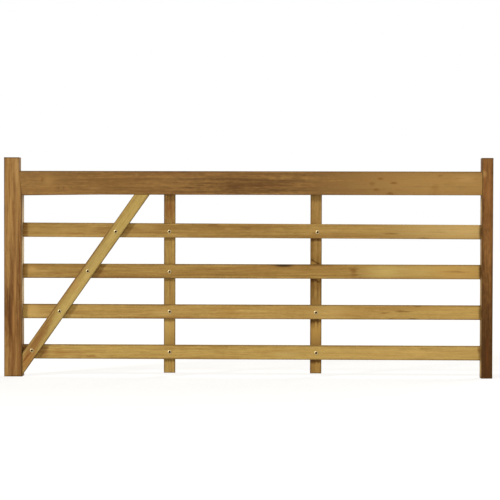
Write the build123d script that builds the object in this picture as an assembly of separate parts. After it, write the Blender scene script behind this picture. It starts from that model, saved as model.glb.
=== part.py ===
from build123d import *
import math
import os

# A field gate leaf of sawn softwood: two stiles, a deep top rail and four thin lower rails,
# with a brace bolted to the front of the lower rails and two uprights bolted to their backs.
# +X runs from the hanging stile to the closing stile, +Z is up and the front faces -Y.
# Heights are counted from the feet of the stiles. The finished leaf is then lowered by half
# its height, so that the origin is the middle of the hanging stile's outer face.

# Leaf
gate_length = 2700.0
stile_height = 1215.0
leaf_thickness = 75.0
arris_radius = 2.5
arris_lean_share = 0.2

# Stiles
hanging_stile_width = 100.0
closing_stile_width = 62.0
horn_height = 75.0
horn_setback = 17.0

# Top rail, which deepens a little towards the hanging stile
top_rail_depth = 130.0
hanging_end_drop = 5.0
hanging_end_run = 420.0

# Lower rails, of which the second falls a little towards the closing stile
rail_depth = 80.0
rail_thickness = 22.0
top_gap = 159.5
bottom_clearance = 97.5
second_rail_fall = 7.5
lower_rails = ("second_rail", "third_rail", "fourth_rail", "bottom_rail")

# Uprights behind the lower rails
upright_width = 63.0
upright_thickness = 22.0
upright_foot_height = 20.0
left_upright_place = 915.0
upright_spacing = 813.0

# Brace in front of the lower rails
brace_width = 70.0
brace_thickness = 22.0
brace_angle = 54.8
brace_toe_height = 8.0

# Mortise and tenon joints
joint_clearance = 0.3
rail_tenon_length = 45.0
rail_tenon_shoulder = 9.0
top_tenon_length = 45.0
top_tenon_shoulder = 24.0
top_tenon_thickness = 25.0
stub_tenon_length = 28.0
stub_tenon_shoulder = 9.0
stub_tenon_thickness = 12.0

# Holes for the bolts that clamp the lapped timbers
bolt_hole_diameter = 9.0
overrun = 5.0

# The bolts are set out by eye. Each sits this far from the middle of its crossing, along the gate and upwards,
# as shares of a rail's depth. One crossing has no bolt.
bolt_drift_shares = {
    ("second_rail", "brace"): (0, -0.09),
    ("second_rail", "left_upright"): (0, -0.08),
    ("second_rail", "right_upright"): (0.09, -0.06),
    ("third_rail", "brace"): (0, -0.01),
    ("third_rail", "left_upright"): (0.01, -0.04),
    ("fourth_rail", "brace"): (0, 0.01),
    ("fourth_rail", "left_upright"): (0.03, 0),
    ("fourth_rail", "right_upright"): (0, -0.03),
    ("bottom_rail", "brace"): (0, 0.09),
    ("bottom_rail", "left_upright"): (0.03, 0),
    ("bottom_rail", "right_upright"): (0.02, -0.02),
}

# Places that follow from the sizes
top_rail_top = stile_height - horn_height
top_rail_under = top_rail_top - top_rail_depth
hanging_end_under = top_rail_under - hanging_end_drop
closing_inner = gate_length - closing_stile_width
horn_inner = hanging_stile_width - horn_setback
leaf_back = leaf_thickness / 2
rail_back = rail_thickness / 2
rail_front = -rail_back
upright_back = rail_back + upright_thickness
brace_front = rail_front - brace_thickness
upright_places = {
    "left_upright": left_upright_place,
    "right_upright": left_upright_place + upright_spacing,
}

# Halfway along the gate, the lower rails are spaced evenly between the top gap and the bottom clearance
second_rail_centre = top_rail_under - top_gap - rail_depth / 2
bottom_rail_centre = bottom_clearance + rail_depth / 2
rail_pitch = (second_rail_centre - bottom_rail_centre) / (len(lower_rails) - 1)
rail_centres = {name: second_rail_centre - step * rail_pitch for step, name in enumerate(lower_rails)}
rail_falls = {"second_rail": second_rail_fall}

along_gate = Vector(1, 0, 0)
along_height = Vector(0, 0, 1)
along_brace = Vector(math.cos(math.radians(brace_angle)), 0, math.sin(math.radians(brace_angle)))


def plank(outline, back, thickness):
    """A flat timber with the given front outline (x, height), from its back face towards the front."""
    back_plane = Plane(origin=(0, back, 0), x_dir=(1, 0, 0), z_dir=(0, -1, 0))
    return extrude(back_plane * make_face(Polyline(*outline, close=True)), amount=thickness)


def rectangle(left, right, low, high):
    """The outline of an upright or level timber, as corner points (x, height)."""
    return [(left, low), (right, low), (right, high), (left, high)]


def block(left, right, front, back, low, high, allowance=0):
    """A tenon between these places or, with an allowance, the mortise that takes it."""
    outline = rectangle(left - allowance, right + allowance, low - allowance, high + allowance)
    return plank(outline, back + allowance, back - front + 2 * allowance)


def eased(timber, *directions):
    """Round the front and back arrises that run along a direction, or lean from it by a small share."""
    arrises = [
        edge
        for edge in timber.faces().filter_by(Axis.Y).edges()
        if any(edge.tangent_at(0.5).cross(direction).length < arris_lean_share for direction in directions)
    ]
    return fillet(arrises, arris_radius)


def brace_edge(height):
    """Where the brace's lower edge is at a height: it leaves the stile's inner face at the toe."""
    return hanging_stile_width + (height - brace_toe_height) / math.tan(math.radians(brace_angle))


def brace_centre(height):
    """Where the brace's middle line is at a height."""
    return brace_edge(height) - brace_width / (2 * math.sin(math.radians(brace_angle)))


def rail_centre(name, place):
    """The height of a lower rail's middle line at a place along the gate."""
    halfway = (hanging_stile_width + closing_inner) / 2
    fall = rail_falls.get(name, 0) * (place - halfway) / (closing_inner - hanging_stile_width)
    return rail_centres[name] - fall


def rail_tenons(name, allowance=0):
    """The two tenons of a lower rail, or their mortises, in the hanging and the closing stile."""
    half_height = rail_depth / 2 - rail_tenon_shoulder
    hanging_end = (hanging_stile_width - rail_tenon_length, hanging_stile_width)
    closing_end = (closing_inner, closing_inner + rail_tenon_length)
    tenons = []
    for end, shoulder in ((hanging_end, hanging_stile_width), (closing_end, closing_inner)):
        low = rail_centre(name, shoulder) - half_height
        high = rail_centre(name, shoulder) + half_height
        tenons.append(block(*end, rail_front, rail_back, low, high, allowance))
    return tenons


def top_tenons(allowance=0):
    """The two tenons of the top rail, or their mortises: the hanging one starts at the sloping shoulder."""
    low = top_rail_under + top_tenon_shoulder
    high = top_rail_top - top_tenon_shoulder
    back = top_tenon_thickness / 2
    hanging_end = (horn_inner - top_tenon_length, hanging_stile_width)
    closing_end = (closing_inner, closing_inner + top_tenon_length)
    return [block(*end, -back, back, low, high, allowance) for end in (hanging_end, closing_end)]


def upright_tenon(name, allowance=0):
    """The stub tenon on an upright's head, or its mortise in the top rail's underside."""
    half_width = upright_width / 2 - stub_tenon_shoulder
    place = upright_places[name]
    front = rail_back + (upright_thickness - stub_tenon_thickness) / 2
    high = top_rail_under + stub_tenon_length
    sides = (place - half_width, place + half_width)
    return block(*sides, front, front + stub_tenon_thickness, top_rail_under, high, allowance)


def brace_tenon(allowance=0):
    """The stub tenon on the brace's head, which keeps the brace's slope, or its mortise."""
    low = top_rail_under - allowance
    high = top_rail_under + stub_tenon_length + allowance
    level_width = brace_width / math.sin(math.radians(brace_angle))
    right_side = stub_tenon_shoulder - allowance
    left_side = level_width - right_side
    outline = [
        (brace_edge(low) - left_side, low),
        (brace_edge(low) - right_side, low),
        (brace_edge(high) - right_side, high),
        (brace_edge(high) - left_side, high),
    ]
    back = rail_front - (brace_thickness - stub_tenon_thickness) / 2
    return plank(outline, back + allowance, stub_tenon_thickness + 2 * allowance)


def bolt_hole(place, height, front, back):
    """A drill through lapped timbers, from in front of them to behind them."""
    start = Plane(origin=(place, back + overrun, height), x_dir=(1, 0, 0), z_dir=(0, -1, 0))
    return extrude(start * Circle(bolt_hole_diameter / 2), amount=back - front + 2 * overrun)


def brace_holes(rail):
    """The bolt hole where the brace crosses a rail, on the brace's middle line."""
    along_share, up_share = bolt_drift_shares[rail, "brace"]
    height = rail_centre(rail, brace_centre(rail_centres[rail])) + up_share * rail_depth
    place = brace_centre(height) + along_share * rail_depth
    return [bolt_hole(place, height, brace_front, rail_back)]


def upright_holes(rail, upright):
    """The bolt hole where an upright crosses a rail, where there is one."""
    if (rail, upright) not in bolt_drift_shares:
        return []
    along_share, up_share = bolt_drift_shares[rail, upright]
    place = upright_places[upright] + along_share * rail_depth
    height = rail_centre(rail, upright_places[upright]) + up_share * rail_depth
    return [bolt_hole(place, height, rail_front, upright_back)]


def cut_from(timber, cutters):
    """A timber with mortises and holes cut out."""
    for cutter in cutters:
        timber = timber - cutter
    return timber


def hanging_stile():
    """The wide stile: above its sloping shoulder, where the top rail seats, the horn is cut back."""
    outline = [
        (0, 0),
        (hanging_stile_width, 0),
        (hanging_stile_width, hanging_end_under),
        (horn_inner, top_rail_top),
        (horn_inner, stile_height),
        (0, stile_height),
    ]
    timber = eased(plank(outline, leaf_back, leaf_thickness), along_height)
    mortises = [rail_tenons(name, joint_clearance)[0] for name in lower_rails]
    return cut_from(timber, mortises + [top_tenons(joint_clearance)[0]])


def closing_stile():
    """The narrow stile at the latch end, straight from foot to horn."""
    outline = rectangle(closing_inner, gate_length, 0, stile_height)
    timber = eased(plank(outline, leaf_back, leaf_thickness), along_height)
    mortises = [rail_tenons(name, joint_clearance)[1] for name in lower_rails]
    return cut_from(timber, mortises + [top_tenons(joint_clearance)[1]])


def top_rail():
    """The deep top bar, tenoned into both stiles and mortised below for the uprights and the brace."""
    outline = [
        (hanging_stile_width, hanging_end_under),
        (hanging_stile_width + hanging_end_run, top_rail_under),
        (closing_inner, top_rail_under),
        (closing_inner, top_rail_top),
        (horn_inner, top_rail_top),
    ]
    timber = eased(plank(outline, leaf_back, leaf_thickness), along_gate)
    for tenon in top_tenons():
        timber = timber + tenon
    mortises = [upright_tenon(name, joint_clearance) for name in upright_places]
    return cut_from(timber, mortises + [brace_tenon(joint_clearance)])


def lower_rail(name):
    """A thin bar with a tenon at each end, drilled where the brace and the uprights cross it."""
    hanging_height = rail_centre(name, hanging_stile_width)
    closing_height = rail_centre(name, closing_inner)
    outline = [
        (hanging_stile_width, hanging_height - rail_depth / 2),
        (closing_inner, closing_height - rail_depth / 2),
        (closing_inner, closing_height + rail_depth / 2),
        (hanging_stile_width, hanging_height + rail_depth / 2),
    ]
    timber = eased(plank(outline, rail_back, rail_thickness), along_gate)
    for tenon in rail_tenons(name):
        timber = timber + tenon
    holes = brace_holes(name)
    for upright in upright_places:
        holes = holes + upright_holes(name, upright)
    return cut_from(timber, holes)


def upright(name):
    """A thin upright behind the lower rails, with its head in the top rail and its foot hanging free."""
    place = upright_places[name]
    sides = (place - upright_width / 2, place + upright_width / 2)
    outline = rectangle(*sides, upright_foot_height, top_rail_under)
    timber = eased(plank(outline, upright_back, upright_thickness), along_height) + upright_tenon(name)
    holes = []
    for rail in lower_rails:
        holes = holes + upright_holes(rail, name)
    return cut_from(timber, holes)


def brace():
    """The sloping bar: a plumb cut seats its foot on the hanging stile, a level cut its head on the top rail."""
    plumb_cut = brace_width / math.cos(math.radians(brace_angle))
    level_cut = brace_width / math.sin(math.radians(brace_angle))
    outline = [
        (hanging_stile_width, brace_toe_height),
        (brace_edge(top_rail_under), top_rail_under),
        (brace_edge(top_rail_under) - level_cut, top_rail_under),
        (hanging_stile_width, brace_toe_height + plumb_cut),
    ]
    timber = eased(plank(outline, rail_front, brace_thickness), along_brace) + brace_tenon()
    holes = []
    for rail in lower_rails:
        holes = holes + brace_holes(rail)
    return cut_from(timber, holes)


leaf = {
    "hanging_stile": hanging_stile(),
    "closing_stile": closing_stile(),
    "top_rail": top_rail(),
    "brace": brace(),
}
for rail_name in lower_rails:
    leaf[rail_name] = lower_rail(rail_name)
for upright_name in upright_places:
    leaf[upright_name] = upright(upright_name)

os.makedirs("parts", exist_ok=True)
for node, timber in leaf.items():
    export_step(Pos(0, 0, -stile_height / 2) * timber, f"parts/{node}.step")
    print(node, "volume in litres:", round(timber.volume / 1e6, 3))
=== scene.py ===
# %% [markdown]
# # A wooden field gate
# One leaf of a joiner's gate: two stiles, a deep top rail, four lower rails, a sloping brace, two uprights
# and eleven bolts. The timbers are solids that come in as a fixed frame, so nothing here moves or reshapes
# them. What is left to do is what makes them look like wood: colour, grain, wear and dirt. The bolts are
# modelled here by hand.

# %% Load the frame
import math
import bmesh
import bpy
from mathutils import Matrix, Vector


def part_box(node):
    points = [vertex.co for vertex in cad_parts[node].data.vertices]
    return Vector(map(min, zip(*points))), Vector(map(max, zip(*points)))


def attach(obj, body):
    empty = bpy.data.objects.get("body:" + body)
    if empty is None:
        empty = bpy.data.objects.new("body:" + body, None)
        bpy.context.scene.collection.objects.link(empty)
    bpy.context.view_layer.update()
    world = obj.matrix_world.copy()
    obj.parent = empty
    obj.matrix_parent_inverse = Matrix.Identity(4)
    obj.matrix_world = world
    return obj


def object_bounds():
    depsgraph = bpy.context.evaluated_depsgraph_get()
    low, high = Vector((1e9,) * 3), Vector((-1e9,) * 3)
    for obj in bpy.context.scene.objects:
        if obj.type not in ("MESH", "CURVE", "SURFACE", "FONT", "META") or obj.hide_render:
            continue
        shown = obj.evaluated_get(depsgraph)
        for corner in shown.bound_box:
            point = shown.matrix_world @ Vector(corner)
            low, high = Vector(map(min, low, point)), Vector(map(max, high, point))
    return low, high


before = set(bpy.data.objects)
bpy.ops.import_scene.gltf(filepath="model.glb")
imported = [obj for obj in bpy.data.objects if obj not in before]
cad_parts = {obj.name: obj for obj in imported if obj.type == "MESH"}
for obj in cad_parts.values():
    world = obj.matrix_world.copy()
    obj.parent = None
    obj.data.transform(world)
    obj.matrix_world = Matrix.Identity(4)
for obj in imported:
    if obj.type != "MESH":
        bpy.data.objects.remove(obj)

cad_low, cad_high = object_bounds()
print("timbers:", ", ".join(sorted(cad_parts)))
print("box of the timbers:", [round(v, 4) for v in (*cad_low, *cad_high)])

# %% [markdown]
# ## Where the camera stands
# A long lens from nine metres away keeps the rails nearly parallel, as in a catalogue picture of something
# wide. The camera stands a little right of the middle, above the second rail, and looks slightly down. A
# camera with no turn looks straight down, so a quarter turn about X makes it look along +Y, and the small
# angles are taken from there.

# %% Camera
camera_place = (1.5735, -9.0500, 0.2904)
looks_down, leans, looks_left = (math.radians(a) for a in (1.223, 0.136, 1.342))
film_width, focal_length = 36.0, 117.63
lens_data = bpy.data.cameras.new("gate_camera")
lens_data.sensor_width = film_width
lens_data.lens = focal_length
camera = bpy.data.objects.new("gate_camera", lens_data)
camera.location = camera_place
camera.rotation_euler = (math.pi / 2 - looks_down, -leans, looks_left)
bpy.context.scene.collection.objects.link(camera)
bpy.context.scene.camera = camera
print("camera stands", round(-camera_place[1], 2), "m in front of the gate")

# %% [markdown]
# ## Light
# The brace throws a soft shadow to its right and a little down, so the main light stands on the left, in
# front and only a little above the gate. A sun lamp keeps that light even over the whole length, where an
# area lamp would make the near end brighter, and a wide sun angle softens the edges of the shadows. The
# shadows are only a third darker than the lit wood, so most of the light has to come from the front: a
# second sun beside the camera, whose own shadows fall out of sight behind the boards. A third one, behind
# and to the right, picks out the inner face of the hanging stile, the tops of the rails and the back of the
# boards. Together with the sky they are set so that a colour on the front renders about as it is written.
# Only the main light shows as a glint on the bolts.

# %% Lights
scene = bpy.context.scene
scene.view_settings.view_transform = "Standard"
lamp_distance = 6.0


def sun_lamp(name, towards, energy, width, shines=False):
    """A far lamp on the given side, so many degrees wide. Where it shines, metal mirrors it."""
    lamp_data = bpy.data.lights.new(name, "SUN")
    lamp_data.energy = energy
    lamp_data.angle = math.radians(width)
    lamp = bpy.data.objects.new(name, lamp_data)
    side = Vector(towards).normalized()
    lamp.rotation_euler = side.to_track_quat("Z", "Y").to_euler()
    lamp.location = side * lamp_distance
    lamp.visible_glossy = shines
    scene.collection.objects.link(lamp)
    print(name, "comes from", [round(v, 2) for v in side])


sun_lamp("window_light", (-1.10, -1.00, 0.75), energy=2.11, width=11, shines=True)
sun_lamp("front_light", (-0.05, -1.00, 0.12), energy=1.00, width=25)
sun_lamp("back_light", (0.62, 0.55, 0.56), energy=1.80, width=40)

# %% [markdown]
# ## Small helpers for shader nodes
# Every finish below is a chain of nodes. These helpers add one node each and give back the socket to carry
# on from, so that a chain reads like a sum. `feed` joins a socket to another one, or types a plain value
# into it.

# %% Node helpers
def feed(tree, value, socket):
    """Joins a socket to where its value comes from, or types the value in."""
    if isinstance(value, bpy.types.NodeSocket):
        tree.links.new(value, socket)
    else:
        socket.default_value = value


def calc(tree, operation, *values):
    """One sum on plain numbers."""
    node = tree.nodes.new("ShaderNodeMath")
    node.operation = operation
    for value, socket in zip(values, node.inputs):
        feed(tree, value, socket)
    return node.outputs["Value"]


def shift(tree, operation, *values):
    """One sum on places or directions. The length and the dot product come out as numbers."""
    node = tree.nodes.new("ShaderNodeVectorMath")
    node.operation = operation
    for name, value in zip(("Vector", "Vector_001", "Vector_002"), values):
        feed(tree, value, next(s for s in node.inputs if s.identifier == name))
    return node.outputs["Value" if operation in ("LENGTH", "DOT_PRODUCT") else "Vector"]


def fade(tree, value, start, end, low=0.0, high=1.0):
    """Goes softly from low, at start, to high, at end."""
    node = tree.nodes.new("ShaderNodeMapRange")
    node.interpolation_type = "SMOOTHSTEP"
    settings = {"Value": value, "From Min": start, "From Max": end, "To Min": low, "To Max": high}
    for name, setting in settings.items():
        feed(tree, setting, node.inputs[name])
    return node.outputs["Result"]


def mottle(tree, place, stretch, detail=2.0, rough=0.5):
    """Cloudy noise in space. Stretch counts the clouds to a metre along, through and across."""
    node = tree.nodes.new("ShaderNodeTexNoise")
    feed(tree, shift(tree, "MULTIPLY", place, stretch), node.inputs["Vector"])
    node.inputs["Scale"].default_value = 1.0
    node.inputs["Detail"].default_value = detail
    node.inputs["Roughness"].default_value = rough
    return node.outputs["Fac"]


def layer(tree, share, under, over, way="MIX"):
    """Lays one colour over another, by a share from 0 to 1."""
    node = tree.nodes.new("ShaderNodeMix")
    node.data_type = "RGBA"
    node.blend_type = way
    feed(tree, share, node.inputs["Factor"])
    sockets = {s.identifier: s for s in node.inputs}
    feed(tree, under, sockets["A_Color"])
    feed(tree, over, sockets["B_Color"])
    return next(s for s in node.outputs if s.identifier == "Result_Color")


print("node helpers:", ", ".join(h.__name__ for h in (feed, calc, shift, fade, mottle, layer)))

# %% [markdown]
# An effect that several finishes share is a node group: it is built once, and each material places it with
# values of its own. A finish starts as an empty material. Colours are written as on a paint chart, in six
# hex digits, but shaders work in linear light, so `tint` turns one into the other.

# %% Groups, finishes and colours
def new_group(name, inputs, outputs):
    """An empty node group with named sockets, and its two end nodes."""
    group = bpy.data.node_groups.new(name, "ShaderNodeTree")
    for socket_name, kind in inputs:
        group.interface.new_socket(socket_name, in_out="INPUT", socket_type="NodeSocket" + kind)
    for socket_name, kind in outputs:
        group.interface.new_socket(socket_name, in_out="OUTPUT", socket_type="NodeSocket" + kind)
    given = group.nodes.new("NodeGroupInput").outputs
    result = group.nodes.new("NodeGroupOutput").inputs
    return group, given, result


def use_group(tree, group, **values):
    """Places a group in a material. Underscores in a name stand for the spaces of the socket's name."""
    node = tree.nodes.new("ShaderNodeGroup")
    node.node_tree = group
    for name, value in values.items():
        feed(tree, value, node.inputs[name.replace("_", " ")])
    return node.outputs


def new_finish(name):
    """An empty material, and the node tree to build it in."""
    finish = bpy.data.materials.new(name)
    finish.use_nodes = True
    finish.node_tree.nodes.clear()
    return finish, finish.node_tree


def tint(code, light=1.0):
    """The linear values of a colour in six hex digits, made lighter or darker if need be."""
    parts = [int(code[i:i + 2], 16) / 255 for i in (0, 2, 4)]
    return [light * (c / 12.92 if c <= 0.04045 else ((c + 0.055) / 1.055) ** 2.4) for c in parts] + [1.0]


print("a mid oak in linear values:", [round(c, 3) for c in tint("AF8C4C")])

# %% [markdown]
# ## Sky and floor
# The gate stands on white, with only the soft shadows under its feet. A lamp strong enough to bleach the
# floor would bleach the wood as well. So rays that come straight from the camera, or off the bolts, see
# plain white, and the rays that light the wood see a calm, warm grey. The floor adds a little of its own
# shading on top, which keeps the shadow.

# %% Sky
room_fill = (0.254, 0.218, 0.145, 1.0)
plain_white = (1.0, 1.0, 1.0, 1.0)


def seen_directly(tree):
    """1 for rays straight from the camera or off something shiny, 0 for rays that light the wood."""
    rays = tree.nodes.new("ShaderNodeLightPath").outputs
    mirrored = calc(tree, "MAXIMUM", rays["Is Glossy Ray"], rays["Is Transmission Ray"])
    return calc(tree, "MAXIMUM", rays["Is Camera Ray"], mirrored)


world = bpy.data.worlds.new("white_room")
scene.world = world
world.use_nodes = True
sky = world.node_tree
sky.nodes.clear()
backdrop = sky.nodes.new("ShaderNodeBackground")
feed(sky, layer(sky, seen_directly(sky), room_fill, plain_white), backdrop.inputs["Color"])
feed(sky, backdrop.outputs["Background"], sky.nodes.new("ShaderNodeOutputWorld").inputs["Surface"])
print("sky lights the wood with", room_fill[:3], "and shows as", plain_white[:3])

# %% Floor
floor_size = 60.0
bounce_grey, shaded_grey, floor_glow = 0.72, 0.32, 0.755


def matt_paint(tree, grey):
    """A plain matt grey."""
    paint = tree.nodes.new("ShaderNodeBsdfDiffuse")
    paint.inputs["Color"].default_value = (grey, grey, grey, 1.0)
    return paint.outputs["BSDF"]


bpy.ops.object.select_all(action="DESELECT")
bpy.ops.mesh.primitive_plane_add(size=floor_size, location=(cad_high.x / 2, 0.0, cad_low.z))
floor = bpy.context.active_object
floor.name = "floor"
floor_paint, ground = new_finish("floor_paint")
glow = ground.nodes.new("ShaderNodeEmission")
glow.inputs["Strength"].default_value = floor_glow
white = ground.nodes.new("ShaderNodeAddShader")
feed(ground, matt_paint(ground, shaded_grey), white.inputs[0])
feed(ground, glow.outputs["Emission"], white.inputs[1])
either = ground.nodes.new("ShaderNodeMixShader")
feed(ground, seen_directly(ground), either.inputs[0])
feed(ground, matt_paint(ground, bounce_grey), either.inputs[1])
feed(ground, white.outputs["Shader"], either.inputs[2])
feed(ground, either.outputs["Shader"], ground.nodes.new("ShaderNodeOutputMaterial").inputs["Surface"])
floor.data.materials.append(floor_paint)
print("floor lies at", round(cad_low.z, 4))

# %% [markdown]
# ## Sawn timber
# A board is a slice of a trunk, so its figure is a cut through growth rings. That can be painted on with a
# stretched image, but then the ends and edges never match the faces. Here the rings are worked out in
# space: every point asks how far it is from the pith, the middle of the trunk, and the answer picks a light
# or dark ring. Slow noise makes the trunk wander, so that the lines drift along the board. `Place` is
# measured from the middle of the timber, in metres: X along the grain, Y through the board, Z across.

# %% Sawn timber group
wood, given, result = new_group(
    "sawn_timber",
    [("Place", "Vector"), ("Bend", "Float"), ("Pith", "Vector"), ("Ring width", "Float"), ("Seed", "Float"),
     ("Pale", "Color"), ("Deep", "Color"), ("Warm", "Color"), ("Figure", "Float"), ("Curl", "Float")],
    [("Colour", "Color"), ("Streak", "Float"), ("Roughness", "Float"), ("Height", "Float")],
)
seed_step = (3.7, 1.9, 2.3)
noise_low, noise_middle, noise_high = 0.3, 0.5, 0.7
trunk = shift(wood, "MULTIPLY_ADD", given["Seed"], seed_step, given["Place"])


def grain_noise(along, across, detail=2.0, rough=0.5):
    """Noise that is drawn out along the grain. The first two values count clouds to a metre."""
    return mottle(wood, trunk, (along, across, across), detail, rough)


def centred(noise, amount):
    """Noise that swings evenly to both sides of zero."""
    return calc(wood, "MULTIPLY", calc(wood, "SUBTRACT", noise, noise_middle), amount)


def spread(noise, amount):
    """Noise with more contrast, which swings by half the amount to both sides of zero."""
    return centred(fade(wood, noise, noise_low, noise_high), amount)


print("sawn timber asks for", ", ".join(s.name for s in given if s.name))

# %% Growth rings
wander_amount, ripple_amount = 0.034, 0.006
uneven_width, uneven_rings, rings_to_a_width = 0.023, 2.6, 1.7
late_sharpness, late_stop = 3.0, 0.90


def ring_noise(radius, width, detail):
    """Uneven rings: noise that changes only with the distance from the pith."""
    node = wood.nodes.new("ShaderNodeTexNoise")
    node.noise_dimensions = "1D"
    feed(wood, calc(wood, "DIVIDE", radius, width), node.inputs["W"])
    node.inputs["Scale"].default_value = 1.0
    node.inputs["Detail"].default_value = detail
    return node.outputs["Fac"]


wander = centred(grain_noise(0.9, 3.0), wander_amount)
ripple = centred(grain_noise(4.0, 24.0), ripple_amount)
from_pith = shift(wood, "SUBTRACT", given["Place"], given["Pith"])
beside_pith = shift(wood, "MULTIPLY", from_pith, (0.0, 1.0, 1.0))
radius = calc(wood, "ADD", shift(wood, "LENGTH", beside_pith), given["Bend"])
radius = calc(wood, "ADD", radius, calc(wood, "ADD", wander, ripple))
bands = ring_noise(radius, given["Ring width"], 2.0)
even_rings = calc(wood, "DIVIDE", radius, given["Ring width"])
growth = calc(wood, "MULTIPLY_ADD", ring_noise(radius, uneven_width, 1.0), uneven_rings, even_rings)
season = calc(wood, "FRACT", calc(wood, "MULTIPLY", growth, rings_to_a_width))
late_rise = calc(wood, "POWER", season, late_sharpness)
late = calc(wood, "MULTIPLY", late_rise, fade(wood, season, 1.0, late_stop))
print("rings take", len(wood.nodes), "nodes")

# %% [markdown]
# Rings alone look like a drawing. Real boards also have broad ribbons and clouds of colour, flecks, short
# curls where the fibres wave, and then the fibres and pores themselves. Each is noise of its own fineness,
# drawn out along the grain. Together they make one number, the streak, which runs from deep to pale. Ruddy
# stretches and pores go over it.

# %% Grain
clear = fade(wood, grain_noise(1.7, 12.0), start=0.40, end=0.66, low=0.25)
ribbons = grain_noise(1.6, 80.0, detail=3.0, rough=0.55)
flecks = grain_noise(12.0, 140.0)
clouds = grain_noise(1.4, 9.0)
curls = grain_noise(34.0, 95.0)
fibres = grain_noise(9.0, 560.0, detail=3.0, rough=0.65)
pores = fade(wood, grain_noise(140.0, 2300.0, detail=1.0), start=0.60, end=0.70)
ruddy = fade(wood, grain_noise(1.5, 34.0), start=0.48, end=0.74)
print("rings and grain take", len(wood.nodes), "nodes")

# %% Sawn timber colours
late_level, late_amount, late_height = 0.22, 0.36, 0.5
fibre_amount, curl_amount, middle_tone = 0.42, 0.14, 0.5
ruddy_share, pore_share = 0.45, 0.45
dull_wood, smooth_wood = 0.66, 0.50
early_wood = calc(wood, "SUBTRACT", late_level, late)
figure = calc(wood, "MULTIPLY", early_wood, calc(wood, "MULTIPLY", clear, late_amount))
for noise, amount in ((bands, 0.32), (ribbons, 0.42), (flecks, 0.18), (clouds, 0.30)):
    figure = calc(wood, "ADD", figure, spread(noise, amount))
tone = calc(wood, "ADD", spread(fibres, fibre_amount), middle_tone)
streak = calc(wood, "MULTIPLY_ADD", figure, given["Figure"], tone)
streak = calc(wood, "MULTIPLY_ADD", spread(curls, curl_amount), given["Curl"], streak)
streak = calc(wood, "MINIMUM", calc(wood, "MAXIMUM", streak, 0.0), 1.0)
colour = layer(wood, streak, given["Deep"], given["Pale"])
colour = layer(wood, calc(wood, "MULTIPLY", ruddy, ruddy_share), colour, given["Warm"])
colour = layer(wood, calc(wood, "MULTIPLY", pores, pore_share), colour, given["Deep"], "MULTIPLY")
relief = calc(wood, "ADD", fibres, calc(wood, "MULTIPLY", late, late_height))
feed(wood, colour, result["Colour"])
feed(wood, streak, result["Streak"])
feed(wood, fade(wood, streak, 0.0, 1.0, dull_wood, smooth_wood), result["Roughness"])
feed(wood, calc(wood, "SUBTRACT", relief, pores), result["Height"])
print("sawn timber group has", len(wood.nodes), "nodes")

# %% [markdown]
# ## Stains
# Boards are not even from end to end: heartwood shows as a dark stretch and wet feet go brown. The same
# patches
# also carry painted shade and light: shadows beside the hanging stile and the brace, shade in the joints and
# under the rails, and pale lit strips on the inner faces of the stiles. A painted mask would have to be
# unwrapped for each timber. Here each such place is one soft patch in space, given by its middle and its
# reach, with an edge that the grain makes ragged, and it runs round the board's edges by itself.

# %% Stain group
patch_core = 0.15
stain_and_shade_patch, given, result = new_group(
    "stain_and_shade_patch",
    [("Place", "Vector"), ("Middle", "Vector"), ("Reach", "Vector"), ("Streak", "Float"),
     ("Ragged", "Float")],
    [("Mask", "Float")],
)
from_middle = shift(stain_and_shade_patch, "SUBTRACT", given["Place"], given["Middle"])
away = shift(stain_and_shade_patch, "LENGTH", shift(stain_and_shade_patch, "DIVIDE", from_middle, given["Reach"]))
off_middle = calc(stain_and_shade_patch, "SUBTRACT", given["Streak"], middle_tone)
ragged = calc(stain_and_shade_patch, "MULTIPLY", off_middle, given["Ragged"])
distance = calc(stain_and_shade_patch, "ADD", away, ragged)
feed(stain_and_shade_patch, fade(stain_and_shade_patch, distance, 1.0, patch_core), result["Mask"])
print("stain group has", len(stain_and_shade_patch.nodes), "nodes")

# %% [markdown]
# ## Knots
# A knot is the root of a branch, and the rings flow round it. So its group gives out two things: a bend, to
# add to the ring distance, and a mask for the dark core. A knot just under the face shows only as a swirl,
# without the core.

# %% Knot group
knot_stretch, knot_push = (0.6, 0.2, 1.0), 1.3
core_rim, core_heart = 0.9, 0.2
knot_swirl, given, result = new_group(
    "knot_swirl",
    [("Place", "Vector"), ("Middle", "Vector"), ("Radius", "Float")],
    [("Bend", "Float"), ("Core", "Float")],
)
from_knot = shift(knot_swirl, "SUBTRACT", given["Place"], given["Middle"])
out = shift(knot_swirl, "LENGTH", shift(knot_swirl, "MULTIPLY", from_knot, knot_stretch))
near = calc(knot_swirl, "DIVIDE", out, given["Radius"])
near_squared = calc(knot_swirl, "MULTIPLY", near, near)
swell = calc(knot_swirl, "EXPONENT", calc(knot_swirl, "MULTIPLY", near_squared, -0.5))
push = calc(knot_swirl, "MULTIPLY", given["Radius"], knot_push)
feed(knot_swirl, calc(knot_swirl, "MULTIPLY", swell, push), result["Bend"])
feed(knot_swirl, fade(knot_swirl, near, core_rim, core_heart), result["Core"])
print("knot group has", len(knot_swirl.nodes), "nodes")
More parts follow.
